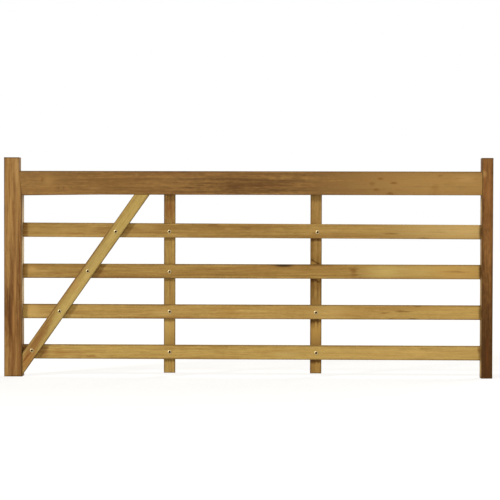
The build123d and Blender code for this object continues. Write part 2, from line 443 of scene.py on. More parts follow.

# %% [markdown]
# ## Arrises
# Arrises, the long edges of a board, gather grime and lose their finish, and their dark colour also stands
# in for the shade on their rounded edges: part grime, part painted shade. The half size of the timber tells
# how far a point lies from each of its faces, and where two of those distances are small at once, an edge
# is near. So the second smallest distance is the one to look at.

# %% Arris group
dark_grain, pale_grain = 0.2, 0.8
dark_breadth_share, pale_breadth_share = 1.25, 0.85
arris_grime_and_shade, given, result = new_group(
    "arris_grime_and_shade",
    [("Place", "Vector"), ("Half size", "Vector"), ("Breadth", "Float"), ("Streak", "Float")],
    [("Mask", "Float")],
)
inside = arris_grime_and_shade.nodes.new("ShaderNodeSeparateXYZ")
outward = shift(arris_grime_and_shade, "ABSOLUTE", given["Place"])
feed(arris_grime_and_shade, shift(arris_grime_and_shade, "SUBTRACT", given["Half size"], outward), inside.inputs["Vector"])
along, through, across = (inside.outputs[axis] for axis in "XYZ")
nearer = calc(arris_grime_and_shade, "MINIMUM", through, across)
farther = calc(arris_grime_and_shade, "MAXIMUM", through, across)
second = calc(arris_grime_and_shade, "MAXIMUM", nearer, calc(arris_grime_and_shade, "MINIMUM", farther, along))
breadth_share = fade(arris_grime_and_shade, given["Streak"], dark_grain, pale_grain,
                     dark_breadth_share, pale_breadth_share)
uneven = calc(arris_grime_and_shade, "MULTIPLY", given["Breadth"], breadth_share)
feed(arris_grime_and_shade, fade(arris_grime_and_shade, second, uneven, 0.0), result["Mask"])
print("arris group has", len(arris_grime_and_shade.nodes), "nodes")

# %% [markdown]
# ## End grain
# Cut ends drink more finish than faces do, and go darker. An end looks along the grain and a face looks
# across it, so the direction of the surface tells them apart.

# %% End grain group
face_limit, end_limit = 0.55, 0.9
end_grain, given, result = new_group("end_grain", [("Grain", "Vector")], [("Mask", "Float")])
facing = end_grain.nodes.new("ShaderNodeNewGeometry").outputs["Normal"]
square_on = calc(end_grain, "ABSOLUTE", shift(end_grain, "DOT_PRODUCT", facing, given["Grain"]))
feed(end_grain, fade(end_grain, square_on, face_limit, end_limit), result["Mask"])
print("groups:", ", ".join(sorted(g.name for g in bpy.data.node_groups)))

# %% [markdown]
# ## One finish for every timber
# All ten timbers are finished the same way, so one function makes each material from that timber's own
# values: which way the grain runs, its colours, and its list of marks. Marks are written as they would be
# measured on the gate: metres from its hanging end and height above the feet, then how far the mark reaches
# along and across the grain, its colour, and how strongly it shows. The Mapping node puts the middle of the
# timber at zero and turns the grain to X.

# %% Marks and measures
foot = cad_low.z
stile_turn = math.radians(90)


def mark(x, height, along, across, colour, share, ragged=1.2, through=0.06):
    """One stain, or one patch of painted light or shade, on the front of a timber."""
    return dict(x=x, height=height, reach=(along, through, across), colour=colour, share=share, ragged=ragged)


def middle_and_half(node_name):
    """The middle of a timber's box, and half its size along the gate, through it and upwards."""
    low, high = (Vector(corner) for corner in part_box(node_name))
    return (low + high) / 2, (high - low) / 2


def half_in_grain(half, turn):
    """Half sizes along, through and across the grain. Only those of a standing timber change places."""
    return Vector((half.z, half.y, half.x)) if turn == stile_turn else half


def timber_space(tree, middle, turn):
    """Object coordinates with the middle of a timber at zero and its grain along X."""
    mapping = tree.nodes.new("ShaderNodeMapping")
    mapping.inputs["Rotation"].default_value = (0.0, turn, 0.0)
    mapping.inputs["Location"].default_value = -(Matrix.Rotation(turn, 3, "Y") @ middle)
    tree.links.new(tree.nodes.new("ShaderNodeTexCoord").outputs["Object"], mapping.inputs["Vector"])
    return mapping.outputs["Vector"]


print("the feet stand at", round(foot, 4), "and the leaf is", round(cad_high.z - foot, 4), "m tall")

# %% Marks and wear
patch_dark, patch_light = 0.78, 1.18
knot_colour = "5C3C1E"
# The arris colour is grime and painted shade on the edges.
edge_grime_and_shade_colour, arris_share, arris_breadth = "4E3518", 0.70, 0.0080
end_colour, end_share = "5A3C20", 0.65


def lay_marks(tree, place, skin, streak, marks, in_timber):
    """Lays stains and patches of painted light and shade over the wood, one after the other. Each keeps the
    light and dark of the grain.
    """
    for m in marks:
        mask = use_group(tree, stain_and_shade_patch, Place=place, Middle=in_timber(m["x"], m["height"]),
                         Reach=m["reach"], Streak=streak, Ragged=m["ragged"])["Mask"]
        patch_colour = layer(tree, streak, tint(m["colour"], patch_dark), tint(m["colour"], patch_light))
        skin = layer(tree, calc(tree, "MULTIPLY", mask, m["share"]), skin, patch_colour)
    return skin


def lay_wear_and_edge_shade(tree, place, skin, streak, half, turn, edge_share, edge_breadth):
    """Lays grime and painted shade on the arrises and darkens the cut ends."""
    arris = use_group(tree, arris_grime_and_shade, Place=place, Half_size=half_in_grain(half, turn),
                      Breadth=edge_breadth, Streak=streak)["Mask"]
    skin = layer(tree, calc(tree, "MULTIPLY", arris, edge_share), skin, tint(edge_grime_and_shade_colour))
    grain_way = Matrix.Rotation(turn, 3, "Y").transposed() @ Vector((1.0, 0.0, 0.0))
    cut_end = use_group(tree, end_grain, Grain=grain_way)["Mask"]
    return layer(tree, calc(tree, "MULTIPLY", cut_end, end_share), skin, tint(end_colour))


print("arrises are worn", round(arris_breadth * 1000, 1), "mm wide")

# %% Timber finish
grain_bump, grain_depth, wood_gloss = 0.35, 0.0005, 0.14


def finish_surface(tree, colour, roughness, height, bump_strength, bump_depth, gloss):
    """Ends a finish with its fine relief and its shader, which it gives back."""
    bump = tree.nodes.new("ShaderNodeBump")
    bump.inputs["Strength"].default_value = bump_strength
    bump.inputs["Distance"].default_value = bump_depth
    feed(tree, height, bump.inputs["Height"])
    surface = tree.nodes.new("ShaderNodeBsdfPrincipled")
    surface.inputs["Specular IOR Level"].default_value = gloss
    feed(tree, colour, surface.inputs["Base Color"])
    feed(tree, roughness, surface.inputs["Roughness"])
    feed(tree, bump.outputs["Normal"], surface.inputs["Normal"])
    tree.links.new(surface.outputs["BSDF"], tree.nodes.new("ShaderNodeOutputMaterial").inputs["Surface"])
    return surface


def timber_finish(node_name, middle, half, turn, pale, deep, warm, seed, pith, ring_width=0.013, figure=1.0,
                  curl=1.0, marks=(), knots=(), edge_share=arris_share, edge_breadth=arris_breadth):
    """Makes the material of one timber and puts it on that timber."""
    wood_skin, tree = new_finish(node_name + "_timber")
    place = timber_space(tree, middle, turn)
    front = middle.y - half.y

    def in_timber(x, height):
        """A place on the front of the gate, as measured from the middle of this timber."""
        return Matrix.Rotation(turn, 3, "Y") @ (Vector((x, front, foot + height)) - middle)

    bend, cores = 0.0, []
    for x, height, size, dark in knots:
        swirl = use_group(tree, knot_swirl, Place=place, Middle=in_timber(x, height), Radius=size)
        bend = calc(tree, "ADD", bend, swirl["Bend"])
        cores.append(calc(tree, "MULTIPLY", swirl["Core"], dark))
    board = use_group(tree, wood, Place=place, Bend=bend, Pith=pith, Ring_width=ring_width, Seed=seed,
                      Pale=tint(pale), Deep=tint(deep), Warm=tint(warm), Figure=figure, Curl=curl)
    streak = board["Streak"]
    skin = lay_marks(tree, place, board["Colour"], streak, marks, in_timber)
    for core in cores:
        skin = layer(tree, core, skin, tint(knot_colour))
    skin = lay_wear_and_edge_shade(tree, place, skin, streak, half, turn, edge_share, edge_breadth)
    finish_surface(tree, skin, board["Roughness"], board["Height"], grain_bump, grain_depth, wood_gloss)
    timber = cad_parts[node_name]
    timber.data.materials.clear()
    timber.data.materials.append(wood_skin)
    print(node_name, "finished with", len(marks), "marks and", len(knots), "knots")


# %% [markdown]
# ## Where the bolts go
# Dirty water runs down behind a bolt head and leaves a dark ring on the wood, so the places of the bolts
# are needed before the wood is finished. A bolt sits where the middle lines of two boards cross. The boxes
# of the boards give those lines: the second rail falls a little, so its box is taller than the others, and
# the brace climbs from its toe.

# %% Middle lines
lower_rails = ("second_rail", "third_rail", "fourth_rail", "bottom_rail")
rail_height = {name: middle_and_half(name)[0].z for name in lower_rails}
rail_depth = 2 * middle_and_half("bottom_rail")[1].z
rail_fall = {name: 2 * middle_and_half(name)[1].z - rail_depth for name in lower_rails}
first_shoulder, last_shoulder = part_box("hanging_stile")[1][0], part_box("closing_stile")[0][0]
brace_slope, brace_width = math.radians(54.8), 0.070
brace_toe = Vector(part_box("brace")[0])


def on_rail(rail, x):
    """The height of a lower rail's middle line."""
    along = (x - (first_shoulder + last_shoulder) / 2) / (last_shoulder - first_shoulder)
    return rail_height[rail] - rail_fall[rail] * along


def on_brace(z):
    """Where the brace's middle line is at a height."""
    level_width = brace_width / math.sin(brace_slope)
    return brace_toe.x + (z - brace_toe.z) / math.tan(brace_slope) - level_width / 2


print("the second rail falls by", round(rail_fall["second_rail"] * 1000, 1), "mm")

# %% [markdown]
# The bolts were set out by eye, a few millimetres off those crossings, and one crossing of the right
# upright has no bolt. So each bolt has a drift, along the gate and upwards, as shares of a rail's depth.
# The boards have holes there.

# %% Bolt places
bolt_drift_shares = {
    ("brace", "second_rail"): (0.0, -0.09),
    ("left_upright", "second_rail"): (0.0, -0.08),
    ("right_upright", "second_rail"): (0.09, -0.06),
    ("brace", "third_rail"): (0.0, -0.01),
    ("left_upright", "third_rail"): (0.01, -0.04),
    ("brace", "fourth_rail"): (0.0, 0.01),
    ("left_upright", "fourth_rail"): (0.03, 0.0),
    ("right_upright", "fourth_rail"): (0.0, -0.03),
    ("brace", "bottom_rail"): (0.0, 0.09),
    ("left_upright", "bottom_rail"): (0.03, 0.0),
    ("right_upright", "bottom_rail"): (0.02, -0.02),
}
bolt_places = {}
for (board, rail), (along_share, up_share) in bolt_drift_shares.items():
    if board == "brace":
        z = on_rail(rail, on_brace(rail_height[rail])) + up_share * rail_depth
        x = on_brace(z)
    else:
        x = middle_and_half(board)[0].x
        z = on_rail(rail, x) + up_share * rail_depth
    bolt_places[board, rail] = (x + along_share * rail_depth, z - foot)
print(len(bolt_places), "bolts:", [(round(x, 4), round(height, 4)) for x, height in bolt_places.values()])

# %% Bolt grime
grime_reach, grime_colour, grime_share = 0.017, "4A3620", 0.35


def bolt_grime(timber):
    """The dark rings that the bolts leave on a timber: on the brace, or else on the rail in front."""
    return [mark(x, height, grime_reach, grime_reach, grime_colour, grime_share, ragged=0.3, through=0.4)
            for (board, rail), (x, height) in bolt_places.items()
            if timber == ("brace" if board == "brace" else rail)]


print("rings of grime:", {timber: len(bolt_grime(timber)) for timber in ("brace", *lower_rails)})

# %% [markdown]
# ## Lower rails
# The four lower rails are the palest timbers, a honey brown with long quiet streaks. Most carry painted shade
# where they meet the hanging stile, in its shadow, and two carry the painted shadow of the brace. All are
# darker still at the closing stile, from painted shade in those joints.

# %% Lower rails
# Painted shade in the joints of the lower rails with the closing stile.
joint_line, joint_along, joint_across, rail_joint_shade = 2.636, 0.016, 0.10, "4E300C"
joint_share = {"second_rail": 0.90, "third_rail": 0.95, "fourth_rail": 0.75, "bottom_rail": 0.55}
rail_looks = {
    "second_rail": dict(
        pale="B79456", deep="82642D", warm="825A29", figure=0.75, seed=1.3, pith=(0.0, 0.10, -0.06), marks=[
            mark(2.55, 0.815, 0.55, 0.08, "CBAC70", 0.55), mark(1.15, 0.815, 0.50, 0.08, "8C6A35", 0.50),
            mark(0.385, 0.792, 0.10, 0.010, "8A5A2C", 0.5), mark(1.158, 0.842, 0.055, 0.010, "6A4A24", 0.6),
            mark(1.34, 0.827, 0.045, 0.012, "74522A", 0.45), mark(1.244, 0.821, 0.03, 0.010, "B08C50", 0.5),
            mark(2.40, 0.806, 0.08, 0.005, "8C6A38", 0.5), mark(2.140, 0.797, 0.05, 0.007, "7E5828", 0.65),
            # The second mark on the next line is painted shade in the shadow of the hanging stile.
            mark(2.320, 0.772, 0.06, 0.008, "6E4C1E", 0.5), mark(0.108, 0.818, 0.032, 0.10, "7C4E1E", 0.6),
            mark(0.52, 0.812, 0.10, 0.034, "866230", 0.50), mark(0.79, 0.825, 0.07, 0.020, "B89658", 0.45),
            mark(1.732, 0.796, 0.034, 0.016, "7E5A28", 0.6, ragged=0.6),
        ]),
    "third_rail": dict(
        pale="B18F50", deep="7D5D29", warm="825526", figure=0.75, seed=9.29, pith=(0.0, 0.08, 0.09), marks=[
            mark(1.55, 0.588, 0.45, 0.08, "8E6832", 0.38), mark(2.11, 0.590, 0.17, 0.07, "C4AA66", 0.65),
            mark(2.30, 0.590, 0.20, 0.07, "C4A864", 0.5),
            mark(1.548, 0.621, 0.070, 0.016, "20140A", 0.85, ragged=0.5),
            mark(1.935, 0.586, 0.032, 0.034, "7A5422", 0.80), mark(2.52, 0.588, 0.28, 0.08, "C6A05A", 0.6),
            mark(2.50, 0.588, 0.10, 0.008, "865C2E", 0.55), mark(0.21, 0.585, 0.07, 0.010, "C8A263", 0.5),
            # The second mark on the next line is the painted shadow of the brace.
            mark(0.30, 0.570, 0.10, 0.012, "865C2E", 0.45), mark(0.525, 0.588, 0.045, 0.06, "7E5226", 0.45),
            # Painted shade in the shadow of the hanging stile.
            mark(0.106, 0.588, 0.024, 0.10, "7C4E1E", 0.45),
            mark(0.62, 0.560, 0.40, 0.024, "866230", 0.6, ragged=0.6),
            mark(0.150, 0.592, 0.05, 0.035, "C6A05E", 0.55),
        ]),
    "fourth_rail": dict(
        pale="C5A460", deep="8D6B33", warm="91652F", figure=0.52, seed=26.73, pith=(0.0, 0.12, -0.03), marks=[
            mark(2.50, 0.3615, 0.40, 0.08, "BE9C58", 0.5), mark(1.25, 0.3615, 0.14, 0.06, "A07A3C", 0.60),
            mark(1.80, 0.3615, 0.14, 0.06, "C6A866", 0.40), mark(1.015, 0.326, 0.06, 0.007, "84512A", 0.6),
            mark(2.205, 0.368, 0.055, 0.008, "745022", 0.75),
            mark(2.105, 0.358, 0.034, 0.008, "7A5426", 0.65),
            mark(2.290, 0.396, 0.03, 0.007, "70501E", 0.5), mark(2.142, 0.326, 0.028, 0.006, "5E421E", 0.6),
            mark(0.15, 0.3615, 0.07, 0.06, "CDA864", 0.5), mark(2.263, 0.326, 0.028, 0.006, "5E421E", 0.6),
            mark(0.875, 0.352, 0.07, 0.020, "C8A866", 0.5),
        ]),
    "bottom_rail": dict(
        pale="CAAC63", deep="95733A", warm="996D34", figure=0.60, seed=2.9, pith=(0.0, 0.09, 0.05), marks=[
            mark(2.25, 0.1365, 0.65, 0.08, "C4A260", 0.35),
            # Painted shade between the hanging stile and the brace's toe, where their shadows fall.
            mark(0.114, 0.150, 0.040, 0.08, "6A3E16", 0.85, ragged=0.4),
            mark(0.479, 0.112, 0.05, 0.009, "8E5E30", 0.5), mark(2.331, 0.163, 0.05, 0.008, "8A6A34", 0.45),
            mark(0.36, 0.124, 0.15, 0.022, "A67C42", 0.4), mark(1.565, 0.128, 0.10, 0.020, "CCB06C", 0.45),
            # The painted shadow of the brace.
            mark(0.212, 0.1365, 0.050, 0.06, "7A4A1E", 0.60),
            mark(0.30, 0.1365, 0.06, 0.05, "9A6E34", 0.35),
            # Painted shade in the joint with the closing stile.
            mark(2.628, 0.158, 0.014, 0.020, "7A4A1A", 0.6, ragged=0.3),
        ]),
}
for rail, looks in rail_looks.items():
    joint = mark(joint_line, on_rail(rail, joint_line) - foot, joint_along, joint_across, rail_joint_shade,
                 joint_share[rail], ragged=0.4, through=0.2)
    looks["marks"] += bolt_grime(rail) + [joint]
    timber_finish(rail, *middle_and_half(rail), 0.0, **looks)

# %% [markdown]
# ## Top rail
# The deep top rail is browner than the rails below. It has a dark stretch of heartwood near its middle,
# small swirls towards the hanging end and a scatter of pin knots near the closing end, where it turns
# golden.

# %% Top rail
pin_along, pin_across, pin_colour = 0.024, 0.010, "78501E"
pin_knots = [
    mark(x, height, pin_along, pin_across, pin_colour, share) for x, height, share in (
        (2.080, 1.099, 0.75), (2.153, 1.077, 0.70), (2.058, 1.039, 0.75),
        (2.134, 1.018, 0.75), (2.034, 1.072, 0.45), (2.406, 1.116, 0.40))
]
timber_finish(
    "top_rail", *middle_and_half("top_rail"), 0.0, pale="9E763F", deep="5F4225", warm="6F4624", seed=15.58,
    pith=(0.0, 0.085, -0.01), figure=0.75, curl=1.5, ring_width=0.011, edge_share=0.78,
    knots=[(0.134, 1.035, 0.022, 0.0), (0.316, 1.046, 0.015, 0.0), (0.214, 1.092, 0.022, 0.1)],
    marks=[
        mark(2.45, 1.075, 0.70, 0.14, "B08A4E", 0.6), mark(0.10, 1.075, 0.35, 0.14, "9A7542", 0.40),
        mark(0.60, 1.075, 0.35, 0.14, "7E5A2C", 0.45),
        mark(1.31, 1.064, 0.42, 0.090, "5A3C1C", 0.66, ragged=0.5),
        mark(1.27, 1.050, 0.11, 0.040, "54381A", 0.6, ragged=0.6),
        mark(1.42, 1.062, 0.10, 0.028, "583B1C", 0.55), mark(1.27, 1.088, 0.06, 0.028, "5A3C1C", 0.35),
        mark(2.55, 1.10, 0.10, 0.030, "B8925A", 0.4), mark(1.61, 1.105, 0.06, 0.030, "62431F", 0.35),
        mark(1.001, 1.138, 0.032, 0.008, "35220F", 0.8),
        mark(0.50, 1.045, 0.06, 0.010, "A98450", 0.3, ragged=2.0),
        mark(0.736, 1.118, 0.014, 0.014, "A98450", 0.25, ragged=2.0),
        mark(2.380, 1.045, 0.030, 0.05, "86602C", 0.45), mark(0.212, 1.092, 0.012, 0.024, "6A4620", 0.6),
        mark(0.245, 1.085, 0.045, 0.050, "A47E48", 0.45), mark(0.303, 1.050, 0.008, 0.026, "74502A", 0.55),
        mark(0.330, 1.047, 0.008, 0.024, "74502A", 0.5),
    ] + pin_knots,
)

# %% [markdown]
# ## Stiles
# The stiles stand on end, so their grain runs upwards and a quarter turn brings it to X. The hanging stile
# has a dark streak low down, a ruddy one beside its inner edge and a pale line on that edge, which is painted
# light. The closing stile is the darkest timber and gets darker downwards. Its inner edge carries painted
# shade at each rail and under the top rail, its inner face painted light between the rails, and it has a pale
# patch by the top joint.

# %% Stiles
stile_arris_share, stile_arris_breadth = 0.80, 0.010
# Painted shade at the joints of the lower rails, on the closing stile's inner edge.
stile_joint_shade_line, stile_joint_shade_along, stile_joint_shade_across, stile_joint_shade_colour, stile_joint_shade_share = 2.638, 0.046, 0.007, "4A2C0C", 0.85
stile_looks = {
    "hanging_stile": dict(
        pale="A88048", deep="613E1F", warm="6F411F", figure=1.25, curl=1.0, seed=3.3,
        pith=(0.0, 0.11, 0.03), marks=[
            mark(0.045, 0.26, 0.44, 0.080, "74491E", 0.50), mark(0.011, 1.02, 0.30, 0.008, "B0854A", 0.5),
            mark(0.037, 0.95, 0.26, 0.011, "B88C50", 0.6), mark(0.071, 0.90, 0.30, 0.010, "B88C50", 0.6),
            mark(0.028, 1.08, 0.17, 0.008, "7C5024", 0.75, ragged=0.4),
            mark(0.061, 1.12, 0.10, 0.006, "7C5024", 0.6, ragged=0.6),
            mark(0.052, 0.86, 0.26, 0.010, "80552A", 0.7, ragged=0.9),
            mark(0.082, 1.04, 0.18, 0.008, "B4884C", 0.5),
            mark(0.088, 0.68, 0.30, 0.013, "6A3E18", 0.75, ragged=0.5),
            mark(0.085, 0.58, 0.24, 0.012, "5E3614", 0.55, ragged=0.5),
            mark(0.029, 0.39, 0.30, 0.019, "563212", 0.75, ragged=0.7),
            mark(0.031, 0.39, 0.22, 0.009, "42260E", 0.65, ragged=0.5),
            mark(0.062, 0.52, 0.18, 0.009, "B4864C", 0.75, ragged=0.6),
            mark(0.053, 0.31, 0.14, 0.010, "B08046", 0.6, ragged=0.8),
            mark(0.077, 0.10, 0.14, 0.010, "A47840", 0.55), mark(0.088, 0.13, 0.18, 0.012, "8A5C2C", 0.3),
            # Painted light on the inner face, as if lit from the side.
            mark(0.1005, 0.68, 0.62, 0.005, "E8CFA4", 0.85, ragged=0.3, through=0.2),
            mark(0.0995, 0.08, 0.09, 0.004, "4A2A0C", 0.5, ragged=0.4, through=0.2),
            mark(0.010, 0.30, 0.34, 0.012, "744A1E", 0.5, ragged=0.7),
            mark(0.068, 1.16, 0.10, 0.016, "C49A5E", 0.6), mark(0.022, 0.20, 0.22, 0.024, "6A421A", 0.6),
        ]),
    "closing_stile": dict(
        pale="946736", deep="5C3B1B", warm="7A4821", figure=0.85, curl=1.8, seed=31.29,
        pith=(0.0, 0.09, -0.05), marks=[
            mark(2.669, -0.02, 0.92, 0.30, "44280A", 0.96, ragged=0.4, through=0.5),
            mark(2.672, 1.02, 0.10, 0.012, "A06C3E", 0.4),
            mark(2.647, 1.127, 0.030, 0.024, "A8804A", 0.75, ragged=0.3),
            mark(2.685, 0.52, 0.12, 0.012, "8E5E2A", 0.35), mark(2.669, 0.87, 0.12, 0.05, "6A4420", 0.3),
            mark(2.669, 0.47, 0.18, 0.05, "563412", 0.25), mark(2.672, 0.13, 0.12, 0.012, "6A3A14", 0.5),
            mark(2.695, 0.55, 0.16, 0.006, "4E2E10", 0.5), mark(2.640, 1.075, 0.065, 0.007, "A57A40", 0.5),
            # The painted shadow of the top rail on the inner edge.
            mark(2.645, 0.950, 0.11, 0.006, "44260A", 0.85, ragged=0.5, through=0.02),
            # These three marks are painted light on the inner face, which faces the main light.
            mark(2.636, 0.93, 0.15, 0.005, "C09A54", 0.85, ragged=0.3, through=0.2),
            mark(2.636, 0.45, 0.62, 0.005, "C09A54", 0.8, ragged=0.3, through=0.2),
            mark(2.636, 0.05, 0.10, 0.005, "C8A45C", 0.9, ragged=0.3, through=0.2),
        ]),
}
stile_looks["closing_stile"]["marks"] += [
    mark(stile_joint_shade_line, z - foot, stile_joint_shade_along, stile_joint_shade_across, stile_joint_shade_colour, stile_joint_shade_share, ragged=0.4, through=0.2)
    for z in rail_height.values()]
for stile, looks in stile_looks.items():
    timber_finish(stile, *middle_and_half(stile), stile_turn, edge_share=stile_arris_share,
                  edge_breadth=stile_arris_breadth, **looks)

# %% [markdown]
# ## Uprights
# Two slimmer boards behind the rails tie them together. They are darkest under the top rail, where the left
# one carries painted shade over its own darker tone, and painted shade lies under each lower rail too. The
# right one has a slanting scar with rubbed, paler wood beside it. A stain is always an oval along the grain,
# so the scar is a row of small ones.

# %% Uprights
under_rail_shade_drop, under_rail_shade_along, under_rail_shade_across, under_rail_shade_colour = 0.048, 0.018, 0.08, "5A3A14"
under_rail_shade_share = {"left_upright": 0.23, "right_upright": 0.80}
upright_looks = {
    "left_upright": dict(
        pale="B99754", deep="7C602C", warm="80572C", figure=0.65, seed=6.1, pith=(0.0, 0.07, 0.04), marks=[
            # The first mark on the next line is painted shade under the top rail, over a darker tone of the
            # wood.
            mark(0.915, 0.94, 0.17, 0.08, "784C23", 0.85), mark(0.915, 0.76, 0.10, 0.08, "8A6A34", 0.4),
            mark(0.915, 0.31, 0.14, 0.08, "C8A660", 0.45),
        ]),
    "right_upright": dict(
        pale="A98549", deep="725427", warm="745023", figure=0.80, seed=26.70, pith=(0.0, -0.08, 0.05), marks=[
            mark(1.728, 0.61, 0.26, 0.08, "72501E", 0.55), mark(1.728, 0.30, 0.13, 0.08, "BC944C", 0.65),
            # The last mark on this line and the next mark are painted shade under the third and fourth rails.
            mark(1.728, 0.08, 0.12, 0.08, "AE8642", 0.4), mark(1.728, 0.515, 0.060, 0.08, "684616", 0.4),
            mark(1.728, 0.305, 0.035, 0.08, "7A5A26", 0.5),
        ]),
}
rubbed_places = ((1.708, 0.630), (1.742, 0.543))
scar_places = ((1.703, 0.651), (1.711, 0.647), (1.719, 0.642), (1.727, 0.638), (1.735, 0.633), (1.743, 0.629),
               (1.727, 0.538), (1.737, 0.532), (1.747, 0.526))
scuffs = [mark(x, height, 0.016, 0.016, "AC8440", 0.7, ragged=0.3) for x, height in rubbed_places]
scuffs += [mark(x, height, 0.008, 0.010, "4C2E0C", 0.75, ragged=0.3) for x, height in scar_places]
for upright, looks in upright_looks.items():
    upright_middle, upright_half = middle_and_half(upright)
    # Painted shade under each lower rail.
    looks["marks"] += [
        mark(upright_middle.x, z - foot - under_rail_shade_drop, under_rail_shade_along, under_rail_shade_across, under_rail_shade_colour,
             under_rail_shade_share[upright])
        for z in rail_height.values()]
    if upright == "right_upright":
        looks["marks"] += scuffs
    timber_finish(upright, upright_middle, upright_half, stile_turn, **looks)

# %% [markdown]
# ## Brace
# The brace carries the closing end's weight down to the foot of the hanging stile. Its grain follows its
# slope, so the Mapping node turns by that slope. Its upper edge is browner, and a brown streak runs through
# its lower third. Its ends are cut on a slant, where edges worked out from a box would be wrong, so its
# half length is taken too long and no end arris shows.

# %% Brace
past_the_ends = 0.9
brace_middle, brace_half = middle_and_half("brace")
brace_middle.x = on_brace(brace_middle.z)
timber_finish(
    "brace", brace_middle, Vector((past_the_ends, brace_half.y, brace_width / 2)), brace_slope,
    pale="C5AA67", deep="957A38", warm="926835", seed=13.33, pith=(0.0, 0.10, 0.07), figure=0.75,
    marks=[
        mark(0.178, 0.193, 0.21, 0.036, "84542A", 0.76, ragged=0.7),
        mark(0.228, 0.277, 0.22, 0.018, "784A1E", 0.32, ragged=0.8),
        mark(0.513, 0.668, 0.16, 0.035, "A99056", 0.6), mark(0.397, 0.502, 0.07, 0.030, "B58A54", 0.40),
        mark(0.13, 0.09, 0.12, 0.05, "9C6C36", 0.8, ragged=0.6),
        mark(0.121, 0.104, 0.075, 0.009, "6A3C10", 0.6, ragged=0.5),
        mark(0.363, 0.505, 0.85, 0.015, "84582A", 0.60, ragged=0.6),
    ] + bolt_grime("brace"),
)

# %% [markdown]
# ## Bolts
# Eleven bolts clamp the lapped boards. From the front each is a low zinc dome with a dark hexagon socket,
# from behind a washer, a nut and a few turns of thread. One set is modelled by hand and copied. Zinc plate
# goes cloudy as it ages, so its colour and its shine follow one fine noise. The sockets get the same finish
# without the metal, in a dark brown that is painted shade in the recess.

# %% Bolt finish
bloom_fineness, bloom_bump, bloom_depth = 420.0, 0.15, 0.0002


def metal_finish(name, light, dark, metallic, smooth, dull, gloss):
    """Plated steel with a cloudy, slightly uneven shine. Without the metal, it makes the socket's painted
    shade.
    """
    metal, tree = new_finish(name)
    where = tree.nodes.new("ShaderNodeTexCoord").outputs["Object"]
    bloom = mottle(tree, where, (bloom_fineness, bloom_fineness, bloom_fineness), detail=3.0)
    colour = layer(tree, fade(tree, bloom, noise_low, noise_high), tint(dark), tint(light))
    roughness = fade(tree, bloom, noise_low, noise_high, dull, smooth)
    surface = finish_surface(tree, colour, roughness, bloom, bloom_bump, bloom_depth, gloss)
    surface.inputs["Metallic"].default_value = metallic
    return metal


zinc = metal_finish("zinc_plate", "D8C698", "B8A678", 1.0, 0.48, 0.58, gloss=0.5)
# A dark brown without metal: painted shade in the sockets.
socket_shade = metal_finish("socket_shade", "4E340E", "2C1C06", 0.0, 0.6, 0.8, gloss=0.06)
print("bolt finishes:", zinc.name, "and", socket_shade.name)

# %% [markdown]
# ## Bolt head
# The head is a low dome. A flattened ball would do, but its rings would be hard to fit to the rim and to
# the socket. So it starts as a thin disc: its front face is inset again and again, a little higher each
# time, which rounds it into a dome with rings where they are wanted. The last inset sinks in and gets the
# dark socket finish, which is painted shade.

# %% Bolt blank
head_radius, rim_rise, head_sides = 0.0101, 0.0012, 48


def turned_bar(sides, radius, start, end, finish):
    """A straight bar along Y between two places, as a blank or a cutter."""
    bpy.ops.object.select_all(action="DESELECT")
    bpy.ops.mesh.primitive_cylinder_add(
        vertices=sides, radius=radius, depth=end - start,
        location=(0.0, (start + end) / 2, 0.0), rotation=(math.pi / 2, 0.0, 0.0))
    bar = bpy.context.active_object
    bpy.ops.object.transform_apply(location=True, rotation=True, scale=True)
    bar.data.materials.append(finish)
    return bar


bolt = turned_bar(head_sides, head_radius, -rim_rise, 0.0, zinc)
print("the blank is", round(2000 * head_radius, 1), "mm wide and", round(1000 * rim_rise, 1), "mm thick")

# %% Bolt head
dome_rise = 0.0031
dome_rings = (0.0099, 0.0094, 0.0088, 0.0081, 0.0073, 0.0065)
socket_inset, socket_sink = 0.0024, 0.0012
facing_limit = 0.9
dome_ball = (head_radius ** 2 + dome_rise ** 2) / (2 * dome_rise)
flat_share = math.cos(math.pi / head_sides)


def pick_faces(piece, wanted):
    """In edit mode, selects the faces that the test wants and no others."""
    bpy.ops.mesh.select_all(action="DESELECT")
    shape = bmesh.from_edit_mesh(piece.data)
    for face in shape.faces:
        if wanted(face):
            face.select_set(True)
    bmesh.update_edit_mesh(piece.data)


bpy.ops.object.mode_set(mode="EDIT")
bpy.ops.mesh.select_mode(type="FACE")
pick_faces(bolt, lambda face: face.normal.y < -facing_limit)
ring, rise = head_radius, 0.0
for next_ring in dome_rings:
    next_rise = math.sqrt(dome_ball ** 2 - next_ring ** 2) - (dome_ball - dome_rise)
    bpy.ops.mesh.inset(thickness=(ring - next_ring) * flat_share, depth=next_rise - rise)
    ring, rise = next_ring, next_rise
bolt.data.materials.append(socket_shade)
bolt.active_material_index = 1
bpy.ops.object.material_slot_assign()
bpy.ops.mesh.inset(thickness=socket_inset, depth=-socket_sink)
print("bolt head has", len(bmesh.from_edit_mesh(bolt.data).faces), "faces")

# %% [markdown]
# ## Shank and thread
# The shank runs through both boards and the washer and ends in a thread. A thread is a helix, but from a
# step away rings look the same and are simpler to close. So the back face is inset to the shank and
# extruded, then half a pitch at a time it is pulled in to the root of the thread and out again to its
# crest.

# %% Shank and thread
shank_radius, clamped, washer_thickness = 0.0040, 0.0440, 0.0020
thread_pitch, thread_turns, root_share = 0.00125, 8, 0.88
tip_length, tip_share = 0.0008, 0.75


def draw_out(length):
    """In edit mode, extrudes the chosen face along the bolt, away from its head."""
    bpy.ops.mesh.extrude_region_move(TRANSFORM_OT_translate={"value": (0.0, length, 0.0)})


def pull_in(share, reach):
    """In edit mode, scales the chosen face about the bolt's axis."""
    bpy.ops.transform.resize(value=(share, 1.0, share), center_override=(0.0, reach, 0.0))


